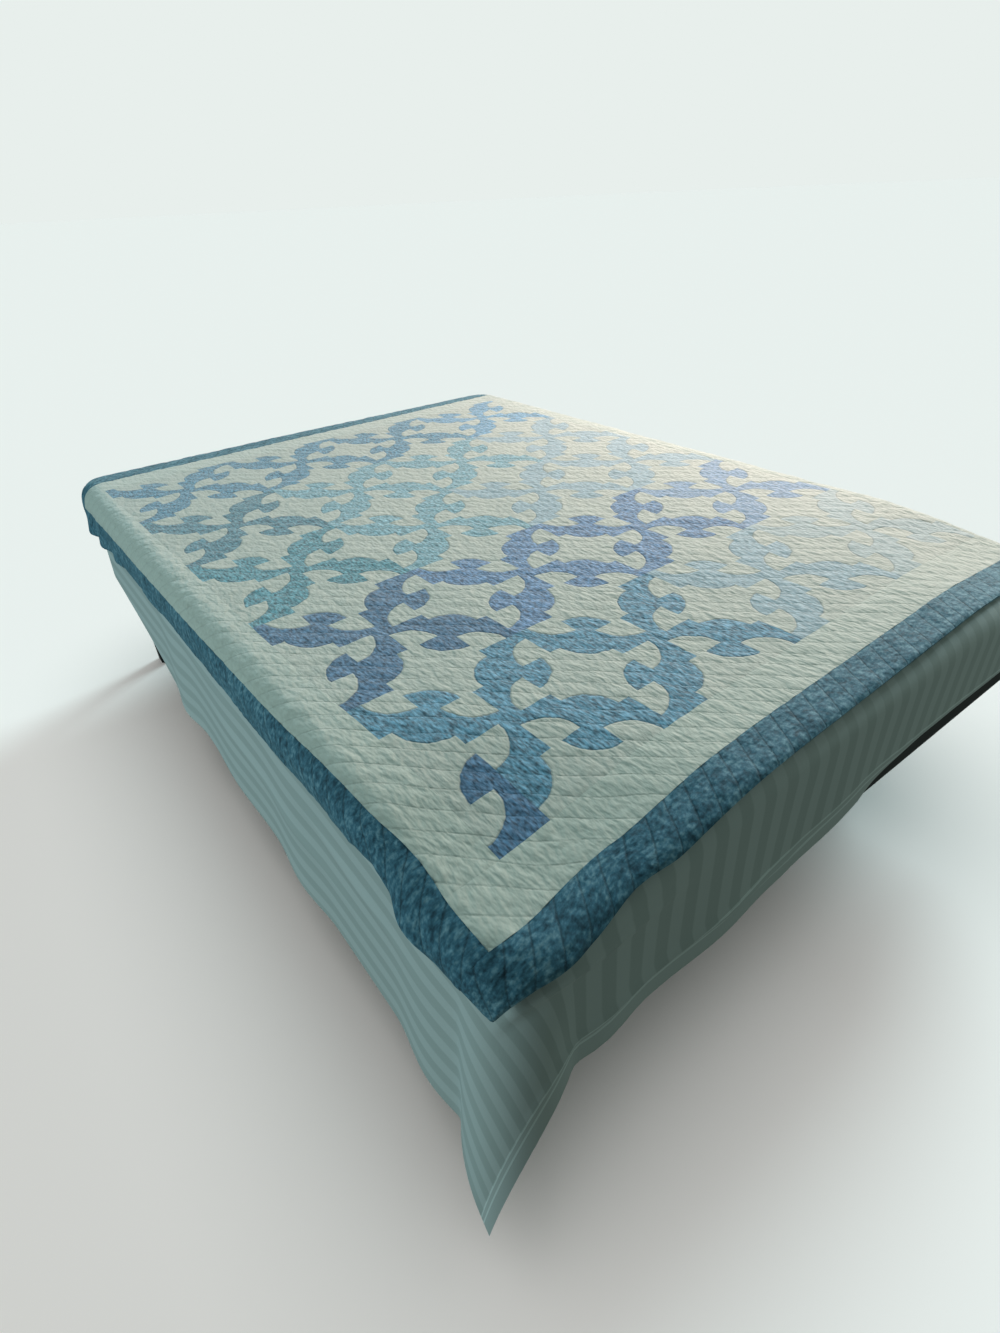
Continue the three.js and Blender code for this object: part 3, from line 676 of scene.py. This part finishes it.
def white_cotton(sizes, colours):
    """Plain white cotton, quilted and washed: matt, faintly greyed, puckered on the slant between lines."""
    material, tree, shader = new_material(
        "white cotton, quilted and washed", 0.88,
        Sheen_Weight=0.6, Sheen_Roughness=0.5, Specular_IOR_Level=0.3,
    )
    white = add(tree, "RGB")
    white.default_value = rgba(colours.white)
    streak, line, height = quilted_surface(tree, sizes)
    # Painted shade darkens the grooves of the stitched lines, and painted highlight faintly lightens the
    # crests
    colour = painted_relief_shading(tree, white, streak, line, RELIEF_SHADING_PALE)
    relief = add(tree, "Bump", {"Height": height, **RELIEF})
    join(tree, shader, Base_Color=colour, Normal=relief)
    return material


def mottled_cotton(sizes, colours):
    """Mottled dyed cotton, quilted and washed: light crackle on dark teal, with painted highlight and shade
    of the relief streaks, and stitched grooves across darkened by painted shade.
    """
    material, tree, shader = new_material(
        "mottled cotton, quilted and washed", 0.85,
        Sheen_Weight=0.45, Sheen_Roughness=0.45, Sheen_Tint=rgba(linear("#bfe2ea")), Specular_IOR_Level=0.3,
    )
    flat = add(tree, "UVMap", uv_map="flat")
    crackle, cloud = (
        add(tree, "TexNoise", {"Vector": flat, "Scale": 1 / size, "Detail": 2.0, "Roughness": rough})
        for size, rough in ((MOTTLE["crackle"], 0.6), (MOTTLE["cloud"], 0.5))
    )
    streak, line, height = quilted_surface(tree, sizes)
    # The streaks bring painted highlight on the crests and painted shade in the troughs into the mottle
    marks = add(tree, "Mix", {0: MOTTLE["streaks"], VALUE_A: crackle, VALUE_B: streak}, data_type="FLOAT")
    mixed = add(tree, "Mix", {0: MOTTLE["clouds"], VALUE_A: marks, VALUE_B: cloud}, data_type="FLOAT")
    tones = add(tree, "ValToRGB", {"Fac": mixed})
    stops = tones.node.color_ramp.elements
    stops.new(MOTTLE_TONES[1])
    tints = (colours.border_dark, colours.border, colours.border_light)
    for stop, position, colour in zip(stops, MOTTLE_TONES, tints):
        stop.position = position
        stop.color = rgba(colour)
    # Painted shade darkens the stitched grooves
    ditch = add(tree, "MapRange", {"Value": line, "To Min": MOTTLE["line"], "To Max": 1.0})
    shaded = add(tree, "VectorMath", {0: tones, "Scale": ditch}, operation="SCALE")
    relief = add(tree, "Bump", {"Height": height, **RELIEF})
    join(tree, shader, Base_Color=shaded, Normal=relief)
    return material


def striped_cotton(sizes, colours):
    """Satin striped cotton sheeting: smooth sheen in the stripes, plain weave between them and in the hem."""
    material, tree, shader = new_material(
        "satin striped cotton sheeting", 0.6, Sheen_Weight=0.15, Sheen_Roughness=0.4, Specular_IOR_Level=0.35
    )
    stitch_half, stitch_light = 0.0025, 1.4
    stripe_soft, plain_rough, satin_rough = 0.2, 0.62, 0.56
    flat = add(tree, "UVMap", uv_map="flat")
    edge = {"From Min": -stripe_soft, "From Max": stripe_soft, "To Min": 0.0, "To Max": 1.0}
    stripe = add(tree, "MapRange", {"Value": waves(tree, flat, sizes.stripe), **edge})
    hem = add(tree, "Attribute", output="Fac", attribute_name="from_foot_hem")
    body = add(tree, "Math", {0: hem, 1: sizes.foot_hem}, operation="GREATER_THAN")
    shown = add(tree, "Math", {0: stripe, 1: body}, operation="MULTIPLY")
    tones = {0: shown, COLOUR_A: rgba(colours.sheet), COLOUR_B: rgba(colours.sheet_dark)}
    cloth = add(tree, "Mix", tones, output=COLOUR_MIX, data_type="RGBA")
    rows = [
        add(tree, "Math", {0: hem, 1: row, 2: stitch_half}, operation="COMPARE")
        for row in (sizes.foot_hem, sizes.foot_hem - sizes.hem_rows)
    ]
    stitched = add(tree, "Math", {0: rows[0], 1: rows[1]}, operation="ADD")
    light = add(tree, "MapRange", {"Value": stitched, "To Min": 1.0, "To Max": stitch_light})
    colour = add(tree, "VectorMath", {0: cloth, "Scale": light}, operation="SCALE")
    rough = add(tree, "MapRange", {"Value": shown, "To Min": plain_rough, "To Max": satin_rough})
    weave = grained(tree, flat, size=0.006, detail=3.0, strength=0.25, deep=0.0006)
    join(tree, shader, Base_Color=colour, Roughness=rough, Normal=weave)
    return material


def ticking_cotton(colours):
    """Woven mattress ticking: matt, with narrow grey lines woven in along the mattress, 24 mm apart."""
    material, tree, shader = new_material("woven ticking", 0.9, Sheen_Weight=0.15, Specular_IOR_Level=0.3)
    line_spacing, line_low, line_top, line_tone = 0.024, 0.8, 0.95, 0.72
    place = add(tree, "TexCoord", output="Object")
    wave = waves(tree, place, line_spacing)
    line = add(tree, "MapRange", {"Value": wave, "From Min": line_low, "From Max": line_top})
    grey = [line_tone * c for c in colours.ticking]
    tones = {0: line, COLOUR_A: rgba(colours.ticking), COLOUR_B: rgba(grey)}
    colour = add(tree, "Mix", tones, output=COLOUR_MIX, data_type="RGBA")
    weave = grained(tree, place, size=0.005, detail=3.0, strength=0.4, deep=0.001)
    join(tree, shader, Base_Color=colour, Normal=weave)
    return material


def coated_steel(colours):
    """Powder-coated steel tube: near black, half gloss, with the fine orange peel of a baked coat."""
    material, tree, shader = new_material("powder coated steel", 0.5, Specular_IOR_Level=0.25)
    dust_size, dust_gain, dust_lift = 0.09, 1.7, 0.004
    clean_rough, dusty_rough = 0.36, 0.58
    place = add(tree, "TexCoord", output="Object")
    dust = add(tree, "TexNoise", {"Vector": place, "Scale": 1 / dust_size, "Detail": 4.0})
    rough = add(tree, "MapRange", {"Value": dust, "To Min": clean_rough, "To Max": dusty_rough})
    dusty = [min(1.0, dust_gain * c + dust_lift) for c in colours.steel]
    tones = {0: dust, COLOUR_A: rgba(colours.steel), COLOUR_B: rgba(dusty)}
    colour = add(tree, "Mix", tones, output=COLOUR_MIX, data_type="RGBA")
    peel = grained(tree, place, size=0.004, detail=2.0, strength=0.2, deep=0.0004)
    join(tree, shader, Base_Color=colour, Roughness=rough, Normal=peel)
    return material


def lay_border(colour, half, wide, leans, sizes, material):
    """Lays the four strips of a border round a panel; those at its foot and head run over the corners."""
    x, y = half
    strips = {
        "left": ((-x - wide, -x), (-y, y)),
        "right": ((x, x + wide), (-y, y)),
        "foot": ((-x - wide, x + wide), (-y - wide, -y)),
        "head": ((-x - wide, x + wide), (y, y + wide)),
    }
    for side, ends in strips.items():
        name, node, slot = f"{colour}_strip_{side}", f"{colour}_{side}", f"{colour}_cotton"
        quilt_panel(name, node, *ends, sizes, leans[side], material, slot)


class QUILT_OT_patchwork(bpy.types.Operator):
    """Lay the pieced centre of the quilt"""
    bl_idname = "quilt.patchwork"
    bl_label = "Pieced centre"

    # The rim and the under face have no disc, so its corner lies far off
    NO_CORNER = 9

    def execute(self, context):
        sizes, colours = context.scene.quilt_sizes, context.scene.quilt_colours
        half = CENTRE / 2
        panel, lines, count = quilt_panel(
            "pieced_centre", "quilt_centre", (-half[0], half[0]), (-half[1], half[1]), sizes, FIELD_LEAN,
            pieced_cotton(sizes, colours), "patchwork_cotton",
        )
        mesh = panel.data
        i, j = np.meshgrid(*(
            np.floor(((line[:-1] + line[1:]) / 2 + end) / PATCH).astype(int) for line, end in zip(lines, half)
        ))
        chart = np.array([[self.patch(a, b) for a in range(PATCHES[0])] for b in range(PATCHES[1])])
        values = np.zeros((len(mesh.polygons), chart.shape[-1]))
        values[:, 0:2] = self.NO_CORNER
        values[:count] = chart[j.ravel(), i.ravel()]
        corner = np.concatenate([values[:, 0:2], np.zeros((len(values), 1))], 1)
        for name, kind, key, part in (
            ("disc_corner", "FLOAT_VECTOR", "vector", corner),
            ("dark_ground", "FLOAT", "value", values[:, 2]),
            ("blue_cloth", "FLOAT_COLOR", "color", values[:, 3:7]),
        ):
            mesh.attributes.new(name, kind, "FACE").data.foreach_set(key, part.ravel())
        return {"FINISHED"}

    @staticmethod
    def patch(a, b):
        """One patch: its disc's corner across and along, whether its square is dark, its blue and its share
        of painted streak shading.
        """
        kind, corner = BLOCK[b % BLOCK_SIDE][a % BLOCK_SIDE].split()
        cloth = ODD_PATCHES.get((a, b), BLUE_LAYOUT[b // BLOCK_SIDE][a // BLOCK_SIDE])
        streaks = RELIEF_SHADING.get(cloth, RELIEF_SHADING_USUAL)
        return [corner[1] == "R", corner[0] == "T", kind == "D", *BLUE_CLOTHS[cloth], streaks]


class QUILT_OT_white_border(bpy.types.Operator):
    """Lay the four strips of the white border"""
    bl_idname = "quilt.white_border"
    bl_label = "White border"

    def execute(self, context):
        sizes = context.scene.quilt_sizes
        material = white_cotton(sizes, context.scene.quilt_colours)
        lay_border("white", CENTRE / 2, WHITE_BORDER, WHITE_LEANS, sizes, material)
        return {"FINISHED"}


class QUILT_OT_blue_border(bpy.types.Operator):
    """Lay the four strips of the blue border"""
    bl_idname = "quilt.blue_border"
    bl_label = "Blue border"

    def execute(self, context):
        sizes = context.scene.quilt_sizes
        material = mottled_cotton(sizes, context.scene.quilt_colours)
        lay_border("blue", CENTRE / 2 + WHITE_BORDER, BLUE_BORDER, BLUE_LEANS, sizes, material)
        return {"FINISHED"}


class QUILT_OT_sheet(bpy.types.Operator):
    """Lay the striped sheet over the mattress, loose at the near left and tucked in elsewhere"""
    bl_idname = "quilt.sheet"
    bl_label = "Striped sheet"

    # The mesh: the size of a cell on top, and how many cells go round the roll and down each fall
    TOP_CELL = 24.0
    ROLL_CELLS = 8
    FALL_CELLS = {"left": 40, "right": 20, "foot": 28, "head": 20}

    # What lies towards the head is called this far from the foot hem
    FAR_FROM_HEM = 1000.0

    # Soft waves all over the sheet: how high, how long across and along it, and the draw that sets them
    WAVES = {"high": 0.7, "across": 60, "along": 90, "draw": 21}

    # Creases of the loose cloth: from one flat place to another, how wide and how high; their ends fade out
    CREASES = [
        ((-800, -975), (-380, -1014), 11, 8),
        ((-900, -1145), (60, -1141), 8, 6),
        ((-900, -880), (-830, -300), 12, 4),
        ((-960, -760), (-900, 120), 14, 4),
        ((-850, -200), (-820, 340), 12, 3),
    ]
    CREASE_FADE = 1.9

    def execute(self, context):
        sizes, colours = context.scene.quilt_sizes, context.scene.quilt_colours
        cells = self.FALL_CELLS
        columns = self.lines(SHEET["half_x"], cells["left"], cells["right"], self.TOP_CELL)
        rows = self.lines(SHEET["half_y"], cells["foot"], cells["head"], self.TOP_CELL / 2)
        x, y, hem = self.place(columns, rows)
        middle = lie(SHEET, x, y)
        normal = lie_normal(SHEET, x, y)
        middle = middle + normal * self.creases(x, y)[..., None]
        upper = middle + normal * SHEET_THICK / 2
        under = middle - normal * SHEET_THICK / 2
        flat = np.stack([x, y], -1)
        sheet, _ = cloth_object("striped_sheet", upper, under, flat, 1, striped_cotton(sizes, colours))
        both = np.concatenate([hem.ravel(), hem.ravel()]) * MM
        sheet.data.attributes.new("from_foot_hem", "FLOAT", "POINT").data.foreach_set("value", both)
        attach(sheet, "root")
        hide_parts("bed_sheet")
        return {"FINISHED"}

    def lines(self, half, low_cells, high_cells, cell):
        """Lines across the sheet: flat places over the top and rolls, then shares of the fall below."""
        roll_end = half + SHEET["roll"] * math.pi / 2
        top = np.linspace(-half, half, math.ceil(2 * half / cell) + 1)
        roll = np.linspace(half, roll_end, self.ROLL_CELLS + 1)[1:]
        low = [(-roll_end, share) for share in np.linspace(1, 0, low_cells + 1)[:-1]]
        high = [(roll_end, share) for share in np.linspace(0, 1, high_cells + 1)[1:]]
        level = [(place, 0.0) for place in np.concatenate([-roll[::-1], top, roll])]
        return np.array(low + level + high).T

    def place(self, columns, rows):
        """Flat places on the sheet and how far each is from the foot hem; tucked corners are drawn in."""
        column, row = np.meshgrid(columns[0], rows[0])
        share_x, share_y = np.meshgrid(columns[1], rows[1])

        def fall(low, high, towards, along):
            below = np.interp(along, HEMS[low]["at"], HEMS[low]["fall"])
            above = np.interp(along, HEMS[high]["at"], HEMS[high]["fall"])
            return np.where(towards < 0, below, above) - SHEET["roll"]

        fall_x, fall_y = fall("left", "right", column, row), fall("foot", "head", row, column)
        flat_x, flat_y = np.abs(column) + share_x * fall_x, np.abs(row) + share_y * fall_y
        corner_x, corner_y = SHEET["half_x"] - CORNER_PLAN, SHEET["half_y"] - CORNER_PLAN
        beyond_x, beyond_y = flat_x - corner_x, flat_y - corner_y
        roll_length = CORNER_PLAN + SHEET["roll"] * math.pi / 2
        part_x = np.maximum(beyond_x / (roll_length + fall_x), TINY)
        part_y = np.maximum(beyond_y / (roll_length + fall_y), TINY)
        turn = math.pi / 4
        angle = np.where(part_x >= part_y, turn * part_y / part_x, 2 * turn - turn * part_x / part_y)
        far = np.maximum(part_x, part_y)
        loose = (column < 0) & (row < 0)
        drawn = ~loose & (beyond_x > 0) & (beyond_y > 0)
        flat_x = np.where(drawn, corner_x + np.cos(angle) * (roll_length + fall_x) * far, flat_x)
        flat_y = np.where(drawn, corner_y + np.sin(angle) * (roll_length + fall_y) * far, flat_y)
        hem = np.where(row < 0, (1 - share_y) * fall_y, self.FAR_FROM_HEM)
        return flat_x * np.sign(column), flat_y * np.sign(row), hem

    def creases(self, x, y):
        """Height of the soft waves and creases at flat places."""
        wave = self.WAVES
        total = wave["high"] * lumps(x / wave["across"], y / wave["along"], wave["draw"])
        for start, end, wide, high in self.CREASES:
            run = np.array(end, float) - np.array(start, float)
            share = ((x - start[0]) * run[0] + (y - start[1]) * run[1]) / (run @ run)
            held = np.clip(share, 0, 1)
            away = np.hypot(x - start[0] - held * run[0], y - start[1] - held * run[1])
            ridge = high * np.exp(-((away / wide) ** 2))
            total = total + ridge * bell((held - 0.5) * self.CREASE_FADE)
        return total


class QUILT_OT_mattress(bpy.types.Operator):
    """Make the mattress, with a corded edge round its top and base"""
    bl_idname = "quilt.mattress"
    bl_label = "Mattress"

    # The cord's height, and where it lies on the round of the edge and how far it spreads, in radians
    CORD = 4.0
    CORD_AT = 0.9
    CORD_SPREAD = 0.16

    # The mesh: how far inside the round its rings lie on top, facets of a round, cells of a side and a corner
    INSETS = [400, 330, 260, 200, 145, 95, 60, 30]
    FACETS = 10
    SIDE_CELLS = 24
    CORNER_CELLS = 8

    def execute(self, context):
        rings = []
        for inset in self.INSETS:
            rings.append(self.ring(CORE_X - inset, CORE_Y - inset, CORNER_PLAN, MATTRESS_TOP))
        ends = {0: MATTRESS_TOP, 2 * self.FACETS: MATTRESS_BASE}
        for k, turn in enumerate(np.linspace(0, math.pi, 2 * self.FACETS + 1)):
            from_cords = (turn - self.CORD_AT, turn - math.pi + self.CORD_AT)
            cord = self.CORD * sum(bell(part / self.CORD_SPREAD) for part in from_cords)
            bulge = EDGE_ROUND - self.CORD + cord
            reach = bulge * math.sin(turn)
            middle = MATTRESS_TOP - EDGE_ROUND if turn < math.pi / 2 else MATTRESS_BASE + EDGE_ROUND
            height = ends.get(k, middle + bulge * math.cos(turn))
            rings.append(self.ring(CORE_X + reach, CORE_Y + reach, CORNER_PLAN + reach, height))
        points = np.array(rings)
        count, around = points.shape[:2]
        points = sink(points, 0.0)
        points = np.concatenate([points.reshape(-1, 3), [[0, 0, MATTRESS_TOP], [0, 0, MATTRESS_BASE]]])
        grid = np.arange(count * around).reshape(count, around)
        grid = np.concatenate([grid, grid[:, :1]], 1)
        faces = grid_faces(grid)[:, [0, 3, 2, 1]].tolist()
        top, base = count * around, count * around + 1
        for k in range(around):
            faces.append((top, int(grid[0, k]), int(grid[0, k + 1])))
            faces.append((base, int(grid[-1, k + 1]), int(grid[-1, k])))
        block = mesh_object("mattress_block", points, faces, ticking_cotton(context.scene.quilt_colours))
        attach(block, "root")
        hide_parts("mattress")
        return {"FINISHED"}

    def ring(self, half_x, half_y, radius, height):
        """Places round a rectangle with round corners, anticlockwise from above."""
        arcs = []
        for k, (sign_x, sign_y) in enumerate([(1, -1), (1, 1), (-1, 1), (-1, -1)]):
            turns = np.linspace((k - 1) * math.pi / 2, k * math.pi / 2, self.CORNER_CELLS + 1)
            middle = np.array([sign_x * (half_x - radius), sign_y * (half_y - radius)])
            arcs.append(middle + radius * np.stack([np.cos(turns), np.sin(turns)], -1))
        shares = np.linspace(0, 1, self.SIDE_CELLS + 1)[1:-1, None]
        places = []
        for arc, following in zip(arcs, arcs[1:] + arcs[:1]):
            places += [*arc, *(arc[-1] + shares * (following[0] - arc[-1]))]
        return [(x, y, height) for x, y in places]


class QUILT_OT_frame(bpy.types.Operator):
    """Coat the steel bed frame"""
    bl_idname = "quilt.frame"
    bl_label = "Steel frame"

    def execute(self, context):
        material = coated_steel(context.scene.quilt_colours)
        for name, node in frame["nodes"].items():
            if name.startswith(("rail_", "slat_", "leg_")):
                node.data.materials.clear()
                node.data.materials.append(material)
        return {"FINISHED"}


class QUILT_OT_stage(bpy.types.Operator):
    """Set the floor, the soft light and the camera"""
    bl_idname = "quilt.stage"
    bl_label = "Stage"

    # Soft lights: where each stands, what it faces, its size, power and colour; they light the bed alone
    LIGHTS = {
        "left fill": ((-4.2, 0.6, 1.5), (-0.6, 0.0, 0.4), 2.6, 82, "#d2eef0"),
        "back fill": ((-2.2, 3.6, 2.0), (-0.4, 0.6, 0.5), 2.0, 17, "#8fd8f4"),
        "right window": ((1.9, 0.2, 1.25), (-0.1, 0.0, 0.5), 1.2, 50, "#ffe6da"),
        "foot fill": ((2.4, -3.0, 1.0), (0.4, -0.9, 0.4), 1.6, 11, "#e6fff2"),
    }

    # Wide suns: which way each shines, its strength, its spread in degrees, its colour and what it lights
    SUNS = {
        "daylight": ((-0.78, -0.30, -0.53), 1.74, 20, "#dcf8fa", "all"),
        "floor light": ((0, 0, -1), 1.88, 70, "#fffdfb", "floor"),
    }
    SUN_AT = (3, 3, 3)

    # The even light of the room, and what shows behind the bed: colour and strength
    ROOM_LIGHT = ("#d2e6da", 0.125)
    BACKDROP = ("#e8efec", 1.0)
    FLOOR_ACROSS = 600

    # The camera, solved from the bed's corners and blocks: its place, which way its right and its top face
    CAMERA_AT = Vector((-0.917, -1.282, 1.189))
    CAMERA_RIGHT = Vector((0.7935, -0.6073, -0.0388))
    CAMERA_UP = Vector((0.3615, 0.4190, 0.8329))
    LENS = 19.16
    SENSOR = 36

    def execute(self, context):
        bed = bpy.data.collections.new("bed alone")
        for piece in context.scene.objects:
            bed.objects.link(piece)
        bpy.ops.object.select_all(action="DESELECT")
        bpy.ops.mesh.primitive_plane_add(size=self.FLOOR_ACROSS, location=(0, 0, 0))
        floor = context.active_object
        floor.name = "floor"
        floor.visible_diffuse = False
        floor.visible_glossy = False
        ground = bpy.data.collections.new("floor alone")
        ground.objects.link(floor)
        material, _, shader = new_material("matt painted floor", 1.0, Specular_IOR_Level=0.0)
        shader.inputs["Base Color"].default_value = rgba(context.scene.quilt_colours.floor)
        floor.data.materials.append(material)
        for name, (at, to, size, power, colour) in self.LIGHTS.items():
            light = self.lamp(context, "AREA", name, at, Vector(to) - Vector(at), power, colour)
            light.data.size = size
            light.visible_camera = False
            light.light_linking.receiver_collection = bed
        for name, (towards, power, spread, colour, lit) in self.SUNS.items():
            sun = self.lamp(context, "SUN", name, self.SUN_AT, Vector(towards), power, colour)
            sun.data.angle = math.radians(spread)
            if lit == "floor":
                sun.light_linking.receiver_collection = ground
        world = bpy.data.worlds.new("soft room light")
        context.scene.world = world
        world.use_nodes = True
        tree = world.node_tree
        room, seen = (
            add(tree, "Background", {"Color": rgba(linear(colour)), "Strength": strength})
            for colour, strength in (self.ROOM_LIGHT, self.BACKDROP)
        )
        straight = add(tree, "LightPath", output="Is Camera Ray")
        both = add(tree, "MixShader", {0: straight, 1: room, 2: seen})
        join(tree, tree.nodes["World Output"], Surface=both)
        context.scene.view_settings.view_transform = "Standard"
        bpy.ops.object.camera_add(location=self.CAMERA_AT)
        camera = context.active_object
        right, up = self.CAMERA_RIGHT.normalized(), self.CAMERA_UP.normalized()
        back = right.cross(up).normalized()
        turn = Matrix((right, up, back)).transposed()
        camera.rotation_euler = turn.to_euler()
        camera.data.sensor_width = self.SENSOR
        camera.data.lens = self.LENS
        camera.data.clip_end = self.FLOOR_ACROSS
        context.scene.camera = camera
        return {"FINISHED"}

    @staticmethod
    def lamp(context, kind, name, at, towards, power, colour):
        """A light of one kind that shines from a place in a direction."""
        bpy.ops.object.light_add(type=kind, location=at)
        made = context.active_object
        made.name = name
        made.rotation_euler = towards.to_track_quat("-Z", "Y").to_euler()
        made.data.energy = power
        made.data.color = linear(colour)
        return made


class QUILT_PT_sidebar(bpy.types.Panel):
    """Sizes, colours and pieces of the quilt on its bed"""
    bl_label = "Quilt"
    bl_idname = "QUILT_PT_sidebar"
    bl_space_type = "VIEW_3D"
    bl_region_type = "UI"
    bl_category = "Quilt"

    def draw(self, context):
        for group in (context.scene.quilt_sizes, context.scene.quilt_colours):
            for name in group.__annotations__:
                self.layout.prop(group, name)
        for operator in OPERATORS:
            self.layout.operator(operator.bl_idname)


OPERATORS = (
    QUILT_OT_patchwork, QUILT_OT_white_border, QUILT_OT_blue_border, QUILT_OT_sheet, QUILT_OT_mattress,
    QUILT_OT_frame, QUILT_OT_stage,
)
CLASSES = (QuiltSizes, QuiltColours, *OPERATORS, QUILT_PT_sidebar)


def register():
    for each in CLASSES:
        bpy.utils.register_class(each)
    bpy.types.Scene.quilt_sizes = PointerProperty(type=QuiltSizes)
    bpy.types.Scene.quilt_colours = PointerProperty(type=QuiltColours)


def unregister():
    del bpy.types.Scene.quilt_colours
    del bpy.types.Scene.quilt_sizes
    for each in reversed(CLASSES):
        bpy.utils.unregister_class(each)


def main():
    register()
    bpy.ops.quilt.patchwork()
    bpy.ops.quilt.white_border()
    bpy.ops.quilt.blue_border()
    bpy.ops.quilt.sheet()
    bpy.ops.quilt.mattress()
    bpy.ops.quilt.frame()
    bpy.ops.quilt.stage()


if __name__ == "__main__":
    main()
